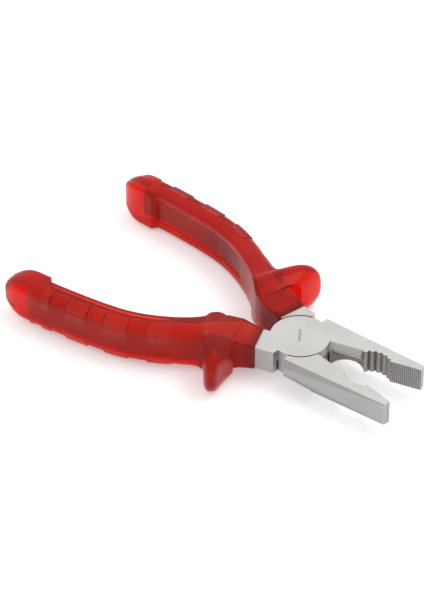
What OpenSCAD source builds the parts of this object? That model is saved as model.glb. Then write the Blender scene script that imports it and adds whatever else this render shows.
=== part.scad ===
// Combination pliers, 180 mm: two forged halves lapped at a round joint, a flush
// pivot rivet and a guarded plastic grip on each arm.
//
// The pivot axis is Z and the origin lies on it, half way through the head. The
// jaws point along +X and the arms along -X, and the opening is shared equally
// between the two halves. Each half is drawn closed, then turned by half the opening.

/* [Joint] */
// Diameter of the two overlapping joint discs
joint_d = 25; // [21:0.5:30]
// Thickness of the head and of both forged arms
body_t = 11; // [9:0.5:13.5]
// Gap around each disc in the pocket of the other half
pocket_gap = 0.35; // [0.2:0.05:0.6]
// Gap between the two lapped joint faces
lap_gap = 0.05; // [0.02:0.01:0.1]
// Angle between the jaws as the pliers lie
opening = 24.6; // [4:0.2:44]
// Slope of the stop faces from the long axis, in the closed tool
stop_angle = 66; // [60:1:70]

/* [Pivot rivet] */
// Diameter of the rivet's shank
rivet_d = 8; // [6:0.25:10]
// Diameter of its countersunk heads
rivet_head_d = 12; // [11:0.25:14]
// Depth of the countersinks
rivet_head_h = 2.4; // [1.5:0.1:3]
// Radial clearance of the rivet in the half that turns on it
rivet_clear = 0.05; // [0.02:0.01:0.09]
// Radial clearance of the rivet in the half that carries it
rivet_seat = 0.01; // [0.01:0.005:0.02]

/* [Jaws] */
// Length of the cutting edges
cutter_len = 14.5; // [11:0.5:18]
// Length of the pipe grip
pipe_len = 13; // [9:0.5:14]
// Depth of the pipe grip in each jaw
pipe_depth = 3.2; // [2:0.1:4]
// Length of the flat gripping faces
flat_len = 13.5; // [11:0.5:18]
// Height of each jaw at its tip
tip_h = 3.3; // [2.5:0.1:5]
// How far each jaw's shoulder stands outside the joint disc
shoulder_h = 3.3; // [2.5:0.1:4.5]
// How far the side of a jaw swells past its face at the shoulder
jaw_swell = 1; // [0.3:0.1:1.4]
// Depth of that side bevel at the shoulder
jaw_bevel_h = 3.5; // [2:0.1:4]
// Corner taken off each shoulder at the back
nose_h = 3; // [1:0.5:4]
// Gap left between the closed jaws
bite_gap = 0.2; // [0.1:0.05:0.4]
// Number of coarse teeth in each pipe grip
coarse_teeth = 6; // [3:1:7]
// Depth of the coarse teeth
coarse_depth = 0.9; // [0.5:0.1:1.2]
// Number of fine teeth on each flat gripping face
fine_teeth = 16; // [10:1:20]
// Depth of the fine teeth
fine_depth = 0.35; // [0.2:0.05:0.5]

/* [Cutters] */
// Width of the ground bevel behind each cutting edge
cut_bevel_w = 2; // [1.2:0.1:3]
// Depth of that bevel below the front face
cut_bevel_h = 2.8; // [1.5:0.1:3.5]
// Radius of the scoop below the cutting edge
scoop_r = 7.6; // [6:0.1:9]
// Reach of the scoop into the jaw at the back face
scoop_reach = 6; // [4:0.1:7]

/* [Arms] */
// Gap between the closed necks, on each side of the long axis
neck_in = 2.1; // [1.5:0.1:3]
// How far the neck's outer edge stands outside the joint disc
neck_out = 1.5; // [1:0.1:2.5]
// Distance from the pivot to the end of the full-width neck
neck_len = 25; // [22:0.5:27]
// Width of the arm inside the grip
tang_w = 7; // [5.5:0.25:8.5]
// Distance of each arm from the long axis where it bows out most
arm_bow = 22.4; // [19:0.2:27]
// Distance from the pivot to that place
arm_bow_at = 72; // [62:1:84]
// Distance of the grip's end from the long axis
arm_end = 15.2; // [13:0.2:18]

/* [Grips] */
// Distance from the pivot to the end of the rear half's grip
grip_reach = 125; // [104:0.5:150]
// Plastic past the end of the arm
end_wall = 12; // [7:0.5:18]
// Gap from the joint disc to the front of the rear half's grip
collar_gap = 0.7; // [0.7:0.1:2.5]
// How much further back the front half's grip sits
grip_setback = 1.5; // [1:0.5:4]
// Wall of the grip over the arm's top and back
wall_z = 4.2; // [3.2:0.1:5.5]
// Wall of the grip at the arm's sides
wall_side = 1.6; // [1.2:0.1:2.5]
// Wall of the collar around the neck
collar_wall = 0.8; // [0.6:0.1:1.2]
// Clearance of the grip around the steel
grip_fit = 0.03; // [0.02:0.01:0.05]
// Rounding of the grip's inner edges
inner_round = 1.2; // [0.8:0.1:2]
// Rounding of the grip's outer edges
outer_round = 4; // [3:0.1:4.8]
// Depth of the long panel in the inner face
panel_depth = 0.7; // [0.3:0.1:1]
// Height of that panel
panel_h = 11; // [8:0.5:13]
// Length of the thick block at the grip's end
block_len = 19; // [15:0.5:23]
// How far the block stands in from the inner face
block_rise = 2.4; // [1:0.1:3.5]

/* [Thumb pads] */
// Number of raised pads along each outer edge
pads = 4; // [2:1:4]
// Length of a pad
pad_len = 10; // [7:0.5:13]
// Spacing of the pads
pad_pitch = 17.7; // [14.7:0.1:19.5]
// Height of a pad
pad_rise = 0.6; // [0.3:0.1:1]
// Distance from the front half's pivot to the middle of its first pad
front_pad_at = 52; // [50:0.5:54]
// Distance from the rear half's pivot to the middle of its first pad
rear_pad_at = 62.5; // [56:0.5:63]

/* [Hand guards] */
// Distance from the pivot to the guard, where it crosses the grip
guard_at = 32; // [31:0.5:35]
// Thickness of the guard
guard_t = 6.5; // [5:0.5:8]
// Reach of the guard outward from the middle of the grip
guard_reach = 24; // [18:0.5:28]
// Half of the guard's height
guard_h = 11.2; // [10.5:0.1:14]
// Forward lean of the guard, across the long axis
guard_lean = 20; // [14:1:24]
// Rise of the guard on the inner side of the grip
guard_lip = 1.2; // [0:0.1:3]

/* [Hidden] */
$fn = 96;

joint_r = joint_d / 2;
half_t = body_t / 2;
past = 1; // how far cutting shapes run past a face

// jaws, along X
cutter_x = joint_r - 0.3;
pipe_x = cutter_x + cutter_len;
flat_x = pipe_x + pipe_len;
tip_x = flat_x + flat_len;
bite_y = bite_gap / 2;
pipe_r = (pow(pipe_len / 2, 2) + pow(pipe_depth, 2)) / (2 * pipe_depth);
pipe_mid = pipe_x + pipe_len / 2;
shoulder_r = joint_r + shoulder_h;
shoulder_x = shoulder_r * cos(stop_angle);
shoulder_y = shoulder_r * sin(stop_angle);
jaw_slope = atan2(shoulder_y - tip_h, tip_x - shoulder_x);
edge_z = half_t - cut_bevel_h; // height of the cutting edge
edge_land = 0.1; // flat left along it

// arms, along -X; the distance u is measured back from the pivot
neck_out_y = joint_r + neck_out;
neck_mid = (neck_in + neck_out_y) / 2;
neck_w = neck_out_y - neck_in;
tang_reach = grip_reach - end_wall;
tang_end_w = tang_w - 1.5;
tang_step = 8; // distance from the neck's end to the full taper

// grips
handle_h = half_t + wall_z;
collar_h = half_t + collar_wall;
handle_w = tang_w / 2 + wall_side;
collar_w = neck_w / 2 + collar_wall;
cavity_end = tang_reach + grip_fit;
collar_at = joint_r + collar_gap;
end_round = 12; // length of the rounded tip
collar_len = guard_at - guard_t / 2 - 4.4 - collar_at;
collar_skew = 5; // turn of the collar's front edge

// Distance of the arm's centre line from the long axis, u back from the pivot
function arm_y(u) =
    u < neck_len ? neck_mid
    : u < arm_bow_at ? neck_mid + (arm_bow - neck_mid) * sin(90 * (u - neck_len) / (arm_bow_at - neck_len))
    : arm_bow - (arm_bow - arm_end) * pow((u - arm_bow_at) / (grip_reach - arm_bow_at), 1.5);

// Direction of the arm there, from the long axis
function arm_dir(u) = u <= neck_len ? 0 : atan2(arm_y(u + 1.5) - arm_y(u - 1.5), 3);

// Half width of the steel arm
function tang_half(u) =
    u <= neck_len ? neck_w / 2
    : u < neck_len + tang_step ? neck_w / 2 + (tang_w - neck_w) / 2 * (u - neck_len) / tang_step
    : tang_w / 2 + (tang_end_w - tang_w) / 2 * (u - neck_len - tang_step) / (tang_reach - neck_len - tang_step);

function mix(a, b, t) = a + (b - a) * t;
function clamp01(t) = max(0, min(1, t));

// A point beside the arm's centre line, out to the side by v, in the closed front half;
// a is the way sideways, and is square to the arm unless it is given
function beside(u, v, a = undef) =
    let (way = is_undef(a) ? arm_dir(u) : a)
    [-u + v * sin(way), -arm_y(u) - v * cos(way)];

tang_stations = concat([neck_len], [for (i = [1:8]) neck_len + i * (tang_reach - neck_len) / 8]);

// Outline of the neck and arm, with its stop face
module arm_outline() {
    polygon(concat(
        [[0, 0], [-neck_out_y / tan(stop_angle + 0.5), -neck_out_y]],
        [for (u = tang_stations) beside(u, tang_half(u))],
        [for (i = [len(tang_stations) - 1:-1:0]) beside(tang_stations[i], -tang_half(tang_stations[i]))],
        [[-joint_r * 0.9, -neck_in]]
    ));
}

// One tooth cut as a V into a face, at the middle of its pitch
function notch(p, q, depth) =
    let (n = [-(q - p)[1], (q - p)[0]] / norm(q - p), m = (p + q) / 2)
    [p + (m - p) * 0.35, m + n * depth, q + (m - q) * 0.35];

// Gripping face of a jaw, from the cutter out to the tip
function pipe_point(i) =
    let (a = asin(pipe_len / 2 / pipe_r) * (2 * i / coarse_teeth - 1))
    [pipe_mid + pipe_r * sin(a), bite_y + pipe_r * cos(a) - (pipe_r - pipe_depth)];
function fine_point(i) = [flat_x + i * flat_len / fine_teeth, bite_y];
// the cutting bevel runs into the first notch, so no thin fin is left at its end
first_land = notch(pipe_point(0), pipe_point(1), coarse_depth)[0][0] - pipe_x + 0.1;
bite_line = concat(
    [[cutter_x - past, bite_y]],
    [for (i = [0:coarse_teeth - 1], p = notch(pipe_point(i), pipe_point(i + 1), coarse_depth)) p],
    [for (i = [0:fine_teeth - 1], p = notch(fine_point(i), fine_point(i + 1), fine_depth)) p]
);

module jaw_outline() {
    polygon(concat(
        [[0, bite_y]],
        bite_line,
        [
            [tip_x, bite_y + 0.2],
            [tip_x, tip_h],
            [shoulder_x + jaw_swell * sin(jaw_slope), shoulder_y + jaw_swell * cos(jaw_slope)],
            [shoulder_x * 0.76, shoulder_y * 0.76]
        ]
    ));
}

// Flat bevel along the outer side of a jaw, cut from one face down
module jaw_bevel() {
    translate([tip_x, tip_h - 0.15, half_t])
        rotate([0, 0, -jaw_slope])
            rotate([atan(jaw_swell / jaw_bevel_h), 0, 0])
                translate([-2 * tip_x, 0, -body_t])
                    cube([3 * tip_x, body_t, 3 * body_t]);
}

// Ground bevel above the cutting edge, and the scoop below it; side is -1 where the
// half is turned over, so that both bevels face the front
module cutter_relief(side) {
    mirror([0, 0, side < 0 ? 1 : 0]) {
        translate([cutter_x - past, 0, 0])
            rotate([90, 0, 90])
                linear_extrude(cutter_len + past + first_land)
                    polygon([
                        [-past, edge_z + edge_land],
                        [bite_y, edge_z + edge_land],
                        [bite_y + cut_bevel_w * (1 + past / cut_bevel_h), half_t + past],
                        [-past, half_t + past]
                    ]);
        intersection() {
            translate([cutter_x + cutter_len * 0.6, scoop_reach - scoop_r, -half_t - past])
                cylinder(r = scoop_r, h = edge_z + half_t + past);
            translate([cutter_x - past, 0, 0])
                rotate([90, 0, 90])
                    linear_extrude(cutter_len + 2 * past)
                        polygon([
                            [-scoop_r, edge_z],
                            [bite_y, edge_z],
                            [bite_y + scoop_reach * 0.28, edge_z - half_t * 0.55],
                            [bite_y + scoop_reach * 1.1, -half_t - past],
                            [-scoop_r, -half_t - past]
                        ]);
        }
    }
}

// Corner taken off the shoulder at the back face
module nose_cut(side) {
    mirror([0, 0, side < 0 ? 1 : 0])
        translate([0, 0, -half_t])
            rotate([0, 0, stop_angle])
                translate([shoulder_r, 0, 0])
                    rotate([0, 45, 0])
                        cube([nose_h * 3, joint_d, nose_h * sqrt(2)], center = true);
}

module jaw(side) {
    difference() {
        translate([0, 0, -half_t])
            linear_extrude(body_t)
                jaw_outline();
        jaw_bevel();
        mirror([0, 0, 1])
            jaw_bevel();
        cutter_relief(side);
        nose_cut(side);
    }
}

// One forged half in the closed tool, its disc in front
module forged_half(side) {
    translate([0, 0, lap_gap / 2])
        cylinder(r = joint_r, h = half_t - lap_gap / 2);
    difference() {
        union() {
            jaw(side);
            translate([0, 0, -half_t])
                linear_extrude(body_t)
                    arm_outline();
        }
        translate([0, 0, -half_t - past])
            cylinder(r = joint_r + pocket_gap, h = half_t + past + lap_gap / 2);
    }
}

// Shank and one countersunk head of the rivet, grown by a clearance
module rivet_shape(grow) {
    translate([0, 0, -half_t - past])
        cylinder(r = rivet_d / 2 + grow, h = body_t + 2 * past);
    translate([0, 0, half_t - rivet_head_h])
        cylinder(r1 = rivet_d / 2 + grow, r2 = rivet_head_d / 2 + grow, h = rivet_head_h);
}

module front_half() {
    color("lightgray")
        rotate([0, 0, opening / 2])
            difference() {
                forged_half(1);
                rivet_shape(rivet_seat);
            }
}

module rear_half() {
    color("lightgray")
        rotate([180, 0, -opening / 2])
            difference() {
                forged_half(-1);
                rivet_shape(rivet_clear);
            }
}

module pivot_rivet() {
    color("silver")
        intersection() {
            union() {
                rivet_shape(0);
                mirror([0, 0, 1])
                    rivet_shape(0);
            }
            translate([0, 0, -half_t])
                cylinder(d = rivet_head_d, h = body_t);
        }
}

// Cross-section of a grip, as (sideways, up) points around it: the outer edges carry
// the pads and the inner face carries the panel
function corner(cx, cz, r, from, to, n) =
    [for (i = [0:n]) let (a = mix(from, to, i / n)) [cx + r * cos(a), cz + r * sin(a)]];
function half_section(inner, outer, h, ri, ro, rise, dip) =
    let (panel_z = min(panel_h / 2, h - ri - 0.6))
    concat(
        [[outer, h - ro - 0.8]],
        corner(outer - ro, h - ro, ro + rise, 0, 90, 4),
        [[outer - ro - 0.8, h]],
        corner(ri - inner, h - ri, ri, 90, 180, 2),
        [[-inner, panel_z + 0.4], [-inner + dip, panel_z]]
    );
function flip(points) = [for (i = [len(points) - 1:-1:0]) [points[i][0], -points[i][1]]];
function section(inner, outer, h, ri, ro, rise, dip) =
    let (top = half_section(inner, outer, h, ri, ro, rise, dip))
    concat(top, flip(top));

function place(u, way, points) = [for (p = points) concat(beside(u, p[0], way), [p[1]])];

// Rings of a grip, as [distance back, way sideways, inner, outer, half height, inner
// round, outer round, pad rise, panel depth], from the rounded end to the collar
end_rings = 6;
function end_ring(t) =
    let (s = sqrt(1 - pow(1 - t, 2)), u = grip_reach - end_round * t)
    [u, arm_dir(u), mix(2, handle_w + block_rise, s), mix(1, handle_w, s), mix(3.5, handle_h, s),
     mix(1, inner_round + 1.5, s), mix(1, outer_round, s), 0, 0];
function in_block(u) = u > grip_reach - block_len;
function on_pad(u, pad_at) =
    len([for (i = [0:pads - 1]) if (abs(u - pad_at - i * pad_pitch) <= pad_len / 2 + 0.01) i]) > 0;
function handle_ring(u, pad_at, dip = panel_depth) =
    [u, arm_dir(u), handle_w + (in_block(u) ? block_rise : 0), handle_w, handle_h,
     inner_round + (in_block(u) ? 1.5 : 0), outer_round, on_pad(u, pad_at) ? pad_rise : 0, in_block(u) ? 0 : dip];
function guard_ring(v, t, rise, turn = 0) =
    let (u = guard_at - v)
    [u, mix(guard_lean, arm_dir(u), turn), max(handle_w + guard_lip * rise, tang_half(u) + wall_side),
     mix(tang_half(u) + wall_side, guard_reach, t), mix(handle_h, guard_h, rise), inner_round + 1.5 * rise,
     mix(outer_round, guard_h * 0.72, t), 0, 0];
function collar_ring(u) =
    let (t = clamp01((u - collar_at) / collar_len))
    [u, arm_dir(u) + collar_skew, collar_w + 0.4 * t, collar_w + 2.6 * t * t, collar_h + 1.8 * t,
     inner_round * 0.7, 1.6 + t, 0, 0];

// Distances back of the rings between the guard and the rounded end
function stations(pad_at) = sorted(concat(
    [guard_at + guard_t / 2 + 7, grip_reach - block_len - 1, grip_reach - block_len + 1],
    [for (i = [0:pads - 1], v = [-pad_len / 2 - 0.3, -pad_len / 2, 0, pad_len / 2, pad_len / 2 + 0.3])
        if (pad_at + i * pad_pitch + v < grip_reach - end_round) pad_at + i * pad_pitch + v],
    [for (i = [1:pads - 1]) pad_at + (i - 0.5) * pad_pitch]
));
function sorted(list) =
    len(list) < 2 ? list
    : let (mid = list[floor(len(list) / 2)])
      concat(sorted([for (v = list) if (v > mid) v]), [mid], sorted([for (v = list) if (v < mid) v]));

guard_rings = concat(
    [guard_ring(-guard_t / 2 - 0.6, 0, 0), guard_ring(-guard_t / 2, 0.75, 0.1), guard_ring(-guard_t * 0.36, 0.94, 0.35),
     guard_ring(-guard_t / 6, 1, 0.8), guard_ring(guard_t / 6, 1, 1), guard_ring(guard_t * 0.36, 0.94, 1),
     guard_ring(guard_t / 2, 0.75, 0.8), guard_ring(guard_t / 2 + 0.9, 0.42, 0.5, 0.2),
     guard_ring(guard_t / 2 + 2.4, 0.18, 0.1, 0.6)],
    [for (u = [collar_at + collar_len, collar_at + collar_len / 2, collar_at]) collar_ring(u)]
);
function outer_rings(pad_at) = concat(
    [for (i = [0:end_rings - 1]) end_ring(max(0.02, 1 - cos(90 * i / (end_rings - 1))))],
    [for (u = stations(pad_at)) handle_ring(u, pad_at)],
    [handle_ring(guard_at + guard_t / 2 + 4, pad_at, 0)],
    guard_rings
);

function ring_points(r, back) =
    place(r[0] + back, r[1], section(r[2], r[3], r[4], r[5], r[6], r[7], r[8]));

// A plain rectangle with as many points as a section, so that both join up
function slot_half(w, h) =
    [[w, h * 0.5], [w, h * 0.6], [w, h * 0.7], [w, h * 0.8], [w, h], [w * 0.8, h], [w * 0.5, h],
     [-w * 0.5, h], [-w * 0.8, h], [-w, h], [-w, h * 0.7], [-w, h * 0.5]];
function slot_points(u) =
    let (top = slot_half(tang_half(u) + grip_fit, half_t + grip_fit))
    place(u, arm_dir(u), concat(top, flip(top)));

// Mean of a ring's points, where the fan that closes it meets
function middle(ring) = [for (p = ring) 1] * ring / len(ring);

module grip(back, pad_at) {
    front = collar_at + back;
    rings = concat(
        [for (r = outer_rings(pad_at)) ring_points(r, back)],
        [slot_points(front)],
        [for (u = tang_stations) slot_points(u == tang_reach ? cavity_end : u)]
    );
    n = len(rings[0]);
    m = len(rings);
    polyhedron(
        points = concat(
            [for (r = rings, p = r) p],
            [middle(rings[0]), middle(rings[m - 1])]
        ),
        faces = concat(
            [for (i = [0:n - 1]) [m * n, (i + 1) % n, i]],
            [for (k = [0:m - 2], i = [0:n - 1], f = [0, 1])
                let (a = k * n + i, b = k * n + (i + 1) % n)
                f == 0 ? [a, b, a + n] : [b, b + n, a + n]],
            [for (i = [0:n - 1])
                [m * n + 1, (m - 1) * n + i, (m - 1) * n + (i + 1) % n]]
        )
    );
}

module front_grip() {
    color("firebrick")
        rotate([0, 0, opening / 2])
            grip(grip_setback, front_pad_at);
}

module rear_grip() {
    color("crimson")
        rotate([180, 0, -opening / 2])
            grip(0, rear_pad_at);
}

front_half();
rear_half();
pivot_rivet();
front_grip();
rear_grip();
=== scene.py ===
import math

import bmesh
import bpy
from mathutils import Matrix, Vector


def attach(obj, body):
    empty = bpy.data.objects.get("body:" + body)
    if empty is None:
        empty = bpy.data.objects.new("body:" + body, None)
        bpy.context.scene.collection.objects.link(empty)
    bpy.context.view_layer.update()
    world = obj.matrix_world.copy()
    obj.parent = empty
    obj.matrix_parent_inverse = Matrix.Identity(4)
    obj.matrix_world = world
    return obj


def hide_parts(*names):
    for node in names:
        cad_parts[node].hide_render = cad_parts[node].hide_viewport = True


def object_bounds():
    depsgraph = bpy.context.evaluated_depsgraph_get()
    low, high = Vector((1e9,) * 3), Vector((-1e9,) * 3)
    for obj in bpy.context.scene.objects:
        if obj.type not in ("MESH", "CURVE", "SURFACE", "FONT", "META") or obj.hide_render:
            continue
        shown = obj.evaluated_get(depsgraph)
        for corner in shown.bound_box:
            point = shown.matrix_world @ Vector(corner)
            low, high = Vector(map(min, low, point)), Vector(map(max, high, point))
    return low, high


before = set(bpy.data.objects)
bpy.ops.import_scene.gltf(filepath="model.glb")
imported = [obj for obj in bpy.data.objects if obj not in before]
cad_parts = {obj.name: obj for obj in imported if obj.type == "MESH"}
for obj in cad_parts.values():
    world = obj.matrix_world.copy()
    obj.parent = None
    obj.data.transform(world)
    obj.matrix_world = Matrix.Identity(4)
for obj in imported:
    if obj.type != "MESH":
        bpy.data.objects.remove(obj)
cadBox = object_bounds()
mm = 0.001

cameraSetup = {
    "distance": 1500 * mm,
    "turn": 35.84,  # degrees about the upright axis
    "height": 40.9,  # degrees above the table
    "asideRight": 36.02 * mm,  # how far the view's centre lies from the pivot
    "asideUp": -14.7 * mm,
    "lens": 219.8,
    "clip": (0.05, 20),
    "pivotTop": 5.5 * mm,
}


def placeCamera(setup):
    turn, height = math.radians(setup["turn"]), math.radians(setup["height"])
    right = Vector((math.cos(turn), math.sin(turn), 0))
    ahead = Vector((-math.sin(turn) * math.cos(height), math.cos(turn) * math.cos(height), -math.sin(height)))
    up = right.cross(ahead)
    spot = (Vector((0, 0, setup["pivotTop"])) - right * setup["asideRight"] - up * setup["asideUp"]
            - ahead * setup["distance"])
    bpy.ops.object.camera_add(location=spot)
    camera = bpy.context.object
    camera.name = "viewCamera"
    camera.rotation_euler = Matrix((right, up, -ahead)).transposed().to_euler()
    camera.data.lens = setup["lens"]
    camera.data.clip_start, camera.data.clip_end = setup["clip"]
    bpy.context.scene.camera = camera


placeCamera(cameraSetup)
print("camera placed")


class Value:  # one socket of a node, so that plain sums can be written with it
    def __init__(self, board, socket):
        self.board, self.socket = board, socket

    def maths(self, operation, *others):
        return self.board.add("ShaderNodeMath", {"operation": operation}, dict(enumerate([self, *others])))

    def __add__(self, other): return self.maths("ADD", other)
    def __sub__(self, other): return self.maths("SUBTRACT", other)
    def __mul__(self, other): return self.maths("MULTIPLY", other)
    def __truediv__(self, other): return self.maths("DIVIDE", other)
    def __lt__(self, other): return self.maths("LESS_THAN", other)
    def __gt__(self, other): return self.maths("GREATER_THAN", other)
    def __abs__(self): return self.maths("ABSOLUTE")
    __radd__ = __add__

    def __rsub__(self, other):
        return self.board.add("ShaderNodeMath", {"operation": "SUBTRACT"}, {0: other, 1: self})

    def soft(self, low, high):  # 0 at low, 1 at high, smooth between
        return self.board.add("ShaderNodeMapRange", {"interpolation_type": "SMOOTHSTEP"},
                              {"Value": self, "From Min": low, "From Max": high})


class Board:  # the node tree of one material
    def __init__(self, name):
        self.material = bpy.data.materials.new(name)
        self.material.use_nodes = True
        self.tree = self.material.node_tree
        self.tree.nodes.clear()
        self.output = self.tree.nodes.new("ShaderNodeOutputMaterial")
        self.place = self.add("ShaderNodeTexCoord", output="Object")

    def add(self, kind, settings=None, inputs=None, output=0):
        node = self.tree.nodes.new(kind)
        for key, setting in (settings or {}).items():
            setattr(node, key, setting)
        for key, given in (inputs or {}).items():
            socket = node.inputs[key] if isinstance(key, int) else next(
                s for s in node.inputs if key in (s.identifier, s.name) and s.enabled)
            if isinstance(given, Value):
                self.tree.links.new(given.socket, socket)
            else:
                socket.default_value = given
        found = node.outputs[output] if isinstance(output, int) else next(
            s for s in node.outputs if output in (s.identifier, s.name))
        return Value(self, found)

    def axes(self, turn, centre=(0, 0, 0)):
        moved = self.add("ShaderNodeVectorMath", {"operation": "SUBTRACT"}, {0: self.place, 1: centre})
        turned = self.add("ShaderNodeVectorRotate", {"rotation_type": "Z_AXIS"},
                          {"Vector": moved, "Angle": math.radians(turn)})
        return [self.add("ShaderNodeSeparateXYZ", None, {0: turned}, i) for i in range(3)]

    def noise(self, scale, detail, stretch=(1, 1, 1), turn=0):
        spread = self.add("ShaderNodeMapping", None, {
            "Vector": self.place, "Scale": stretch, "Rotation": (0, 0, math.radians(turn))})
        return self.add("ShaderNodeTexNoise", None, {"Vector": spread, "Scale": scale, "Detail": detail})

    def blend(self, factor, first, second):
        return self.add("ShaderNodeMix", {"data_type": "RGBA"}, {
            "Factor_Float": factor, "A_Color": first, "B_Color": second}, "Result_Color")

    def bend(self, radius, keep=None):  # normal rounded over the edges, and how far it turned from the face
        facing = self.add("ShaderNodeNewGeometry", output="Normal")
        rounded = self.add("ShaderNodeBevel", {"samples": 4}, {"Radius": radius})
        if keep:
            rounded = self.add("ShaderNodeMix", {"data_type": "VECTOR"}, {
                "Factor_Float": keep, "A_Vector": facing, "B_Vector": rounded}, "Result_Vector")
        match = self.add("ShaderNodeVectorMath", {"operation": "DOT_PRODUCT"}, {0: rounded, 1: facing}, "Value")
        return rounded, 1 - match

    def relief(self, height, strength, distance, normal):
        return self.add("ShaderNodeBump", None, {
            "Height": height, "Strength": strength, "Distance": distance, "Normal": normal})

    def principled(self, inputs):
        shader = self.add("ShaderNodeBsdfPrincipled", None, inputs)
        self.tree.links.new(shader.socket, self.output.inputs["Surface"])
        return self.material


steelLook = {
    "colour": (0.67, 0.66, 0.64, 1),
    "dull": (0.50, 0.49, 0.475, 1),
    # lighter edges: partly rubbed steel, partly a painted highlight
    "wornAndHighlight": (0.86, 0.85, 0.83, 1),
    # painted shade on the recess walls
    "recessShade": (0.21, 0.185, 0.165, 1),
    # painted shade on upright faces
    "side": (0.345, 0.34, 0.345, 1),
    # darker painted shade on the sloped bevels
    "bevel": (0.335, 0.325, 0.305, 1),
    # painted shade in corners, in the disc seam and in the teeth's grooves
    "grooveShade": (0.05, 0.045, 0.04, 1),
    "edge": 0.25 * mm,  # rounding that the ground edges seem to have
    "cornerShadeReach": 1.6 * mm,  # how far the painted shade reaches out of a corner
    "rivet": 6.9 * mm,  # the rivet's seam is ground away inside this radius
    "disc": 12.8 * mm,  # inner radius of the painted shade line in the seam around the joint disc
    "gap": 0.32 * mm,  # width of that line
    "roughness": 0.38,
    "grindScale": 900,
    "speckleScale": 2600,
    "cloudScale": 70,
}


def steelFinish(name, turn, recesses, ticks=None, topSide=1):
    look = steelLook
    board = Board(name)
    along, across, up = board.axes(turn)
    facing = board.add("ShaderNodeNewGeometry", output="Normal")
    upward = abs(board.add("ShaderNodeSeparateXYZ", None, {0: facing}, 2))
    side = 1 - upward.soft(0.6, 0.95)

    lines = board.noise(look["grindScale"], 3, (0.12, 1, 1), turn)  # fine grinding lines along the tool
    speckle = board.noise(look["speckleScale"], 2)
    cloud = board.noise(look["cloudScale"], 3)
    grain = lines * 0.3 + speckle * 0.7

    fromPivot = along * along + across * across
    seam = fromPivot > look["rivet"] ** 2
    rounded, bend = board.bend(look["edge"], seam)
    edge = bend.soft(0.004, 0.10)
    tone = board.blend(cloud.soft(0.35, 0.7) * 0.3 + grain.soft(0.42, 0.62) * 0.2, look["colour"], look["dull"])
    # painted shade on upright faces, darker still on the sloped bevels
    tone = board.blend(side * 0.8, tone, look["side"])
    tone = board.blend(side * upward.soft(0.1, 0.24) * 0.85, tone, look["bevel"])
    # lighter edges: partly rubbed steel, partly a painted highlight
    tone = board.blend(edge * (0.35 + cloud * 0.5), tone, look["wornAndHighlight"])
    roughness = look["roughness"] + grain * 0.12 - edge * 0.08 + cloud * 0.06

    for start, end, reach, top, depth in recesses:  # painted shade on the recess walls, with a painted highlight on the strip above top
        zone = along.soft(start - 0.4 * mm, start) * (1 - along.soft(end, end + 0.4 * mm)) * (abs(across) < reach)
        lower = 1 - (up * topSide).soft(top - 0.2 * mm, top + 0.2 * mm) * 0.85
        dark = zone * side * lower * (0.62 + cloud * 0.5) * depth
        tone = board.blend(dark, tone, look["recessShade"])
        # painted highlight on the strip above top, as if it caught the light
        tone = board.blend(zone * side * (1 - lower) * 0.5, tone, look["colour"])
        roughness = roughness + dark * 0.12

    clear = board.add("ShaderNodeAmbientOcclusion", {"samples": 6}, {"Distance": look["cornerShadeReach"]}, "AO")
    tone = board.blend((1 - clear).soft(0.3, 0.75) * seam, tone, look["grooveShade"])  # painted shade in the corners
    ring = (fromPivot > look["disc"] ** 2) * (fromPivot < (look["disc"] + look["gap"]) ** 2) * (up * topSide < 0)
    tone = board.blend(ring * 0.85, tone, look["grooveShade"])  # painted shade: a dark line in the seam where the other half's disc turns

    # painted shade: dark bars standing for the fine teeth's grooves
    if ticks:
        row, tall, _ = board.axes(ticks["turn"], (*ticks["centre"], 0))
        wave = board.add("ShaderNodeMath", {"operation": "FRACT"}, {0: row / ticks["pitch"] + 40.5})
        bars = (abs(wave - 0.5) < ticks["width"]) * (abs(row) < ticks["length"] / 2)
        mark = bars * (abs(tall) < ticks["height"] / 2) * (up > ticks["above"])
        tone = board.blend(mark * 0.9, tone, look["grooveShade"])
        roughness = roughness + mark * 0.2

    bump = board.relief(grain, 0.22, 0.03 * mm, rounded)
    return board.principled({
        "Base Color": tone, "Metallic": 1.0, "Roughness": roughness, "Normal": bump})


plasticLook = {
    "colour": (0.93, 0.055, 0.03, 1),
    "deep": (0.70, 0.014, 0.030, 1),
    # painted highlight on the edges
    "rimHighlight": (0.97, 0.20, 0.16, 1),
    # painted highlight on the pads
    "pad": (0.97, 0.12, 0.08, 1),
    # painted shade at the pads' ends
    "step": (0.30, 0.006, 0.010, 1),
    "edge": 0.35 * mm,
    "cloudScale": 45,
    "fineScale": 1500,
    "scuffScale": 260,
    "clearness": 0.84,
    "bending": 1.34,  # index of refraction, low so that the white room is not mirrored as grey
    "sheen": (1.0, 0.45, 0.4, 1),
    "soak": 330.0,  # how fast light is lost inside
    "soakColour": (0.935, 0.31, 0.20, 1),
}


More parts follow.
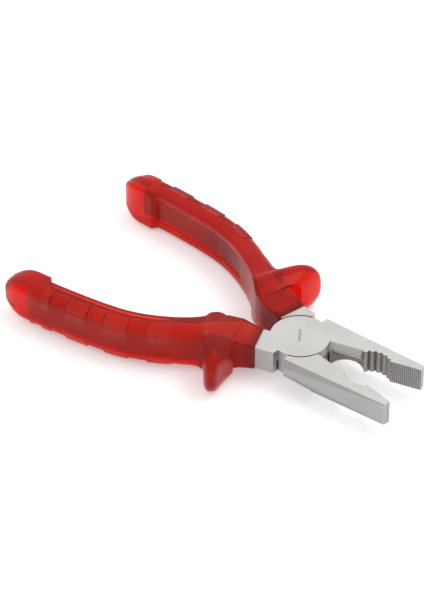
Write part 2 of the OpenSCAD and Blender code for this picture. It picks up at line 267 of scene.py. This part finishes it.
def plasticFinish(name):
    look = plasticLook
    board = Board(name)
    cloud = board.noise(look["cloudScale"], 3)
    fine = board.noise(look["fineScale"], 2)
    scuff = board.noise(look["scuffScale"], 3, (1, 0.12, 1), 35)
    rounded, bend = board.bend(look["edge"])
    edge = bend.soft(0.005, 0.12)
    tone = board.blend(cloud.soft(0.35, 0.65) * 0.5, look["colour"], look["deep"])
    pad = board.add("ShaderNodeAttribute", {"attribute_name": "padHighlight"}, None, "Fac")
    # painted highlight on the pads
    tone = board.blend(pad.soft(0.3, 1) * 0.45, tone, look["pad"])
    # painted highlight along the edges
    tone = board.blend(edge * 0.25, tone, look["rimHighlight"])
    # painted shade at the pads' ends
    step = board.add("ShaderNodeAttribute", {"attribute_name": "padStep"}, None, "Fac")
    tone = board.blend(step.soft(0.72, 0.95) * 0.85, tone, look["step"])
    roughness = 0.2 + cloud * 0.08 + scuff.soft(0.62, 0.75) * 0.05
    bump = board.relief(fine * 0.8 + scuff * 0.2, 0.04, 0.05 * mm, rounded)
    material = board.principled({
        "Base Color": tone, "Roughness": roughness, "Normal": bump,
        "Transmission Weight": look["clearness"], "IOR": look["bending"], "Specular Tint": look["sheen"],
        "Specular IOR Level": 0.12, "Coat Weight": edge * 0.45, "Coat Roughness": 0.15})
    soak = board.add("ShaderNodeVolumeAbsorption", None, {
        "Color": look["soakColour"], "Density": look["soak"]})
    board.tree.links.new(soak.socket, board.output.inputs["Volume"])
    return material


def startFresh():
    if bpy.context.object and bpy.context.object.mode != "OBJECT":
        bpy.ops.object.mode_set(mode="OBJECT")
    bpy.ops.object.select_all(action="DESELECT")


armShape = {  # the same line as the steel arm's, in mm
    "opening": 24.6,  # degrees
    "neckMiddle": 8.05,
    "neckEnd": 25.0,
    "bow": 22.4,
    "bowAt": 72.0,
    "end": 15.2,
    "reach": 125.0,
}


def armLine(u):
    arm = armShape
    if u < arm["neckEnd"]:
        return arm["neckMiddle"]
    if u < arm["bowAt"]:
        rise = math.sin(math.pi / 2 * (u - arm["neckEnd"]) / (arm["bowAt"] - arm["neckEnd"]))
        return arm["neckMiddle"] + (arm["bow"] - arm["neckMiddle"]) * rise
    return arm["bow"] - (arm["bow"] - arm["end"]) * ((u - arm["bowAt"]) / (arm["reach"] - arm["bowAt"])) ** 1.5


def armDirection(u):  # degrees from the long axis
    if u <= armShape["neckEnd"]:
        return 0.0
    return math.degrees(math.atan2(armLine(u + 1.5) - armLine(u - 1.5), 3))


gripSizes = {  # in mm, but pads and endRings are counts
    "halfHeight": 9.7,
    "inner": 5.1,
    "outer": 5.1,
    "panelDepth": 0.7,
    "panelHeight": 11.0,
    "blockLength": 19.0,
    "blockRise": 2.4,
    "outerRound": 4.0,
    "innerRound": 1.2,
    "pads": 4,
    "padLength": 10.0,
    "padPitch": 17.7,
    "padStep": 0.15,  # length over which a pad rises
    "padOut": 0.15,  # how far a pad stands out at the side
    "padRidge": 0.75,  # how far in and down its ridge lies from the square corner
    "padIn": 1.2,  # how far it reaches in past the rounding
    "padUp": 0.4,  # how far it stands up at the top
    "lip": 0.45,  # straight wall between the rounding and the side
    "handleFrom": 48.0,  # where the guard has run out
    "ringGap": 1.9,
    "endRound": 12.0,
    "endRings": 14,
    "endHeight": 1.2,  # half height that the very end shrinks towards
}

# Rings of the collar and the guard, from the front: distance from the pivot, inner and outer
# half widths, half height, rounding of the outer corners, lean in degrees
collarRings = [
    (13.2, 6.30, 6.30, 5.85, 0.8, 5), (13.45, 6.65, 6.65, 6.2, 1.0, 5), (14.2, 6.75, 6.75, 6.35, 1.2, 5),
    (16.5, 6.80, 7.00, 6.65, 1.2, 4), (19.5, 6.90, 7.55, 7.1, 1.3, 3),
    (22.5, 7.05, 9.1, 7.9, 1.6, 1), (24.6, 7.10, 10.9, 8.5, 2.2, 0), (26.0, 7.15, 13.0, 9.0, 3.4, -2),
    (27.2, 7.20, 15.6, 9.5, 4.9, -3), (28.2, 7.20, 18.4, 10.0, 6.4, -4), (29.0, 7.15, 21.0, 10.5, 7.8, -5),
    (29.7, 7.05, 22.7, 10.9, 8.9, -5), (30.5, 7.00, 23.6, 11.15, 9.3, -5), (31.7, 6.95, 23.85, 11.2, 9.4, -5),
    (32.8, 6.90, 23.6, 11.15, 9.4, -5), (33.6, 6.70, 22.6, 10.95, 9.1, -5), (34.1, 6.50, 20.8, 10.7, 8.4, -5),
    (34.5, 6.30, 17.9, 10.45, 7.2, -5), (34.8, 6.10, 14.2, 10.2, 5.8, -4), (35.2, 5.90, 10.6, 10.05, 4.6, -3),
    (36.0, 5.70, 8.0, 9.95, 4.1, -2), (37.6, 5.50, 6.5, 9.85, 4.0, -1), (40.0, 5.30, 5.8, 9.78, 4.0, 0),
    (43.6, 5.15, 5.5, 9.72, 4.0, 0),
    (47.0, 5.10, 5.15, 9.7, 4.0, 0),
]


def section(inner, outer, high, corner, rise, dip):  # (sideways, up) points around a grip, in mm
    sizes = gripSizes
    extra = max(0, corner - sizes["outerRound"]) if high < sizes["halfHeight"] else 0  # softer at the end
    small = min(sizes["innerRound"] + extra, inner / 2, high / 3)
    panel = min(sizes["panelHeight"] / 2, high - small - 0.8)
    padLine = (  # a raised pad over the rounded corner: from the side, over its ridge, to the top
        (outer + sizes["padOut"], high - corner),
        (outer - sizes["padRidge"], high - sizes["padRidge"]),
        (outer - corner - sizes["padIn"], high + sizes["padUp"]))
    points = [(outer, high - corner - sizes["lip"])]
    for i in range(8):
        angle = math.pi / 2 * i / 7
        bare = (outer - corner + corner * math.cos(angle), high - corner + corner * math.sin(angle))
        near, far = padLine[:2] if i < 3.5 else padLine[1:]
        share = i / 3.5 if i < 3.5 else i / 3.5 - 1
        pad = [near[k] + (far[k] - near[k]) * share for k in (0, 1)]
        if i in (3, 4):  # the ridge keeps two close points, so it stays crisp
            pad = [padLine[1][k] + (pad[k] - padLine[1][k]) * 0.5 for k in (0, 1)]
        points.append(tuple(bare[k] + (pad[k] - bare[k]) * rise for k in (0, 1)))
    points.append((max(outer - corner - 1.4, 0.5 - inner + small), high))
    for i in range(4):
        angle = math.pi / 2 * (1 + i / 3)
        points.append((small - inner + small * math.cos(angle), high - small + small * math.sin(angle)))
    points += [(-inner, panel + 0.5), (0.25 * dip - inner, panel + 0.2), (dip - inner, panel)]
    return points + [(y, -z) for y, z in reversed(points)]


def gripRings(back, padAt):  # (distance, inner, outer, high, corner, lean, pad rise, panel depth)
    sizes = gripSizes
    reach = armShape["reach"]
    blockAt = reach - sizes["blockLength"]
    endAt = reach - sizes["endRound"]
    rings = [(*ring, 0, 0) for ring in collarRings]
    handleFrom, step, gap = sizes["handleFrom"], sizes["padStep"], sizes["ringGap"]
    pads = [padAt + i * sizes["padPitch"] for i in range(sizes["pads"])]
    half = sizes["padLength"] / 2
    marks = {blockAt - 0.9: 0, blockAt - 0.5: 0, blockAt + 0.6: 0, blockAt + 1.0: 0}
    for middle in pads:
        for end in (-1, 1):
            for at, rise in ((middle + end * (half + step), 0), (middle + end * half, 1)):
                if handleFrom < at < endAt:
                    marks[at] = rise
    at = handleFrom + 0.5
    while at < endAt:
        if all(abs(at - mark) > 0.7 for mark in marks):
            marks[at] = int(any(abs(at - middle) < half for middle in pads))
        at += gap
    for at in sorted(marks):
        block = min(1, max(0, (at - blockAt + 0.9) / 1.9))
        panel = min(1, max(0, (at - handleFrom) / 6)) if at < blockAt - 0.6 else 0
        rings.append((at, sizes["inner"] + sizes["blockRise"] * block, sizes["outer"], sizes["halfHeight"],
                      sizes["outerRound"], 0, marks[at], sizes["panelDepth"] * panel))
    steps, low = sizes["endRings"], sizes["endHeight"]
    for i in range(steps):  # the rounded end
        angle = math.pi / 2 * i / (steps - 1)
        share = max(0.04, abs(math.cos(angle)) ** 0.82)
        at = endAt + (sizes["endRound"] - 0.25) * math.sin(angle)
        onPad = any(abs(at - middle) < half for middle in pads) and i < steps // 3
        high = low + (sizes["halfHeight"] - low) * share
        outer = sizes["outer"] * share
        rings.append((at, (sizes["inner"] + sizes["blockRise"]) * share, outer, high,
                      min(outer * 1.3, sizes["outerRound"] + 4 * (1 - share)), 0, int(onPad), 0))
    return [(ring[0] + back, *ring[1:]) for ring in rings]


def makeGrip(name, side, back, padAt):
    turn = side * math.radians(armShape["opening"] / 2)

    def place(ring):
        u, inner, outer, high, corner, lean, rise, dip = ring
        way = math.radians(armDirection(u) + lean)
        spots = []
        for aside, up in section(inner, outer, high, corner, rise, dip):
            x, y = aside * math.sin(way) - u, -side * (armLine(u) + aside * math.cos(way))
            spots.append(Vector((x * math.cos(turn) - y * math.sin(turn),
                                 x * math.sin(turn) + y * math.cos(turn), up)) * mm)
        return spots

    profile = gripRings(back, padAt)
    rings = [place(ring) for ring in profile]
    startFresh()
    bpy.ops.mesh.primitive_circle_add(vertices=len(rings[0]), radius=5 * mm, fill_type="NGON")
    grip = bpy.context.object
    grip.name = grip.data.name = name
    bpy.ops.object.mode_set(mode="EDIT")
    bpy.ops.mesh.select_mode(type="FACE")
    bpy.ops.mesh.select_all(action="SELECT")
    mesh = bmesh.from_edit_mesh(grip.data)
    for vert, spot in zip(mesh.verts, rings[0]):
        vert.co = spot
    for last, ring in zip(rings, rings[1:]):  # each new ring is extruded, then moved to its section
        bpy.ops.mesh.extrude_region()
        mesh = bmesh.from_edit_mesh(grip.data)
        for vert in [v for v in mesh.verts if v.select]:
            vert.co = ring[min(range(len(last)), key=lambda i: (last[i] - vert.co).length_squared)]
        bmesh.update_edit_mesh(grip.data)
    bpy.ops.mesh.select_all(action="SELECT")
    bpy.ops.mesh.normals_make_consistent(inside=False)
    bpy.ops.object.mode_set(mode="OBJECT")
    # masks for the painted highlight on the pads and the painted shade at their ends
    padHighlight = grip.data.attributes.new("padHighlight", "FLOAT", "POINT")
    padStep = grip.data.attributes.new("padStep", "FLOAT", "POINT")
    count = len(rings[0])
    for i, ring in enumerate(profile):
        step = any(abs(other[0] - ring[0]) < 0.2 and other[6] != ring[6] for other in profile[max(0, i - 1):i + 2])
        for j in range(count):
            onCorner = 1 <= min(j, count - 1 - j) <= 8
            padHighlight.data[i * count + j].value = float(ring[6] > 0 and onCorner)
            padStep.data[i * count + j].value = float(step and onCorner)
    bpy.ops.object.shade_smooth_by_angle(angle=math.radians(32))
    return grip


frontGrip = makeGrip("front_grip_shell", side=1, back=1.5, padAt=52.0)
rearGrip = makeGrip("rear_grip_shell", side=-1, back=0.0, padAt=62.5)
redPlastic = plasticFinish("redPlastic")
for grip, body, node in ((frontGrip, "front", "front_grip"), (rearGrip, "rear", "rear_grip")):
    grip.data.materials.clear()
    grip.data.materials.append(redPlastic)
    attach(grip, body)
    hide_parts(node)
print("grips made")


opening = armShape["opening"]
shadedRecessZones = (  # painted shade on the recess walls: from, to, how far to each side, height above which the wall gets a painted highlight, how dark
    (12.0 * mm, 26.4 * mm, 7.5 * mm, 1.5 * mm, 1.0),
    (26.8 * mm, 39.2 * mm, 4.0 * mm, 8 * mm, 0.5),
    (39.8 * mm, 53.0 * mm, 2.0 * mm, 8 * mm, 0.35),
)
tickMarks = {
    "centre": (-0.3 * mm, 0.3 * mm),
    "turn": 58,  # degrees from the long axis
    "pitch": 0.95 * mm,
    "width": 0.2,  # half a bar, as a share of the pitch
    "length": 7.6 * mm,
    "height": 1.2 * mm,
    "above": 5 * mm,  # only on the upper face
}


def dress(node, material):
    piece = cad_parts[node]
    piece.data.materials.clear()
    piece.data.materials.append(material)


dress("front_half", steelFinish("frontSteel", -opening / 2, shadedRecessZones, tickMarks))
dress("rear_half", steelFinish("rearSteel", opening / 2, shadedRecessZones, topSide=-1))
dress("pivot_rivet", steelFinish("rivetSteel", -opening / 2, (), tickMarks))
print("steel dressed")


studio = {
    "floorSize": 4.0,
    "floorColour": (0.86, 0.86, 0.86, 1),
    "floorGlow": 0.29,  # a lit table, so that the shadows stay pale
    "skyLow": (0.72, 0.72, 0.735, 1),
    "skyHigh": (1.0, 1.0, 1.0, 1),
    "skyTop": 0.62,  # height at which the sky is at its brightest
    "skyStrength": 1.0,
}
keyLight = {"spot": (0.45, 0.55, 1.5), "size": 0.9, "power": 7}


def areaLight(name, spot, size, power):  # aimed at the pivot
    bpy.ops.object.light_add(type="AREA", location=spot)
    lamp = bpy.context.object
    lamp.name = name
    lamp.data.shape = "DISK"
    lamp.data.size = size
    lamp.data.energy = power
    lamp.rotation_euler = (-Vector(spot)).to_track_quat("-Z", "Y").to_euler()


def makeFloor():
    startFresh()
    bpy.ops.mesh.primitive_plane_add(size=studio["floorSize"], location=(0, 0, cadBox[0][2] - 0.05 * mm))
    floor = bpy.context.object
    floor.name = "table"
    board = Board("paleTable")
    cloud = board.noise(2, 3)
    shade = (*(part * 0.985 for part in studio["floorColour"][:3]), 1)
    tone = board.blend(cloud, studio["floorColour"], shade)
    floor.data.materials.append(board.principled({
        "Base Color": tone, "Roughness": 0.75, "Emission Color": (1, 1, 1, 1),
        "Emission Strength": studio["floorGlow"]}))


def makeSky():  # darker near the horizon, so that the steel's sides turn grey
    world = bpy.data.worlds.new("studioSky")
    world.use_nodes = True
    sky = world.node_tree
    spread = sky.nodes.new("ShaderNodeTexCoord")
    height = sky.nodes.new("ShaderNodeSeparateXYZ")
    ramp = sky.nodes.new("ShaderNodeValToRGB")
    low, high = ramp.color_ramp.elements
    low.position, low.color = 0.0, studio["skyLow"]
    high.position, high.color = studio["skyTop"], studio["skyHigh"]
    sky.links.new(spread.outputs["Generated"], height.inputs[0])
    sky.links.new(height.outputs["Z"], ramp.inputs[0])
    sky.links.new(ramp.outputs["Color"], sky.nodes["Background"].inputs["Color"])
    sky.nodes["Background"].inputs["Strength"].default_value = studio["skyStrength"]
    bpy.context.scene.world = world


makeFloor()
makeSky()
areaLight("keyLight", **keyLight)
bpy.context.scene.view_settings.view_transform = "Standard"
print("studio lit")
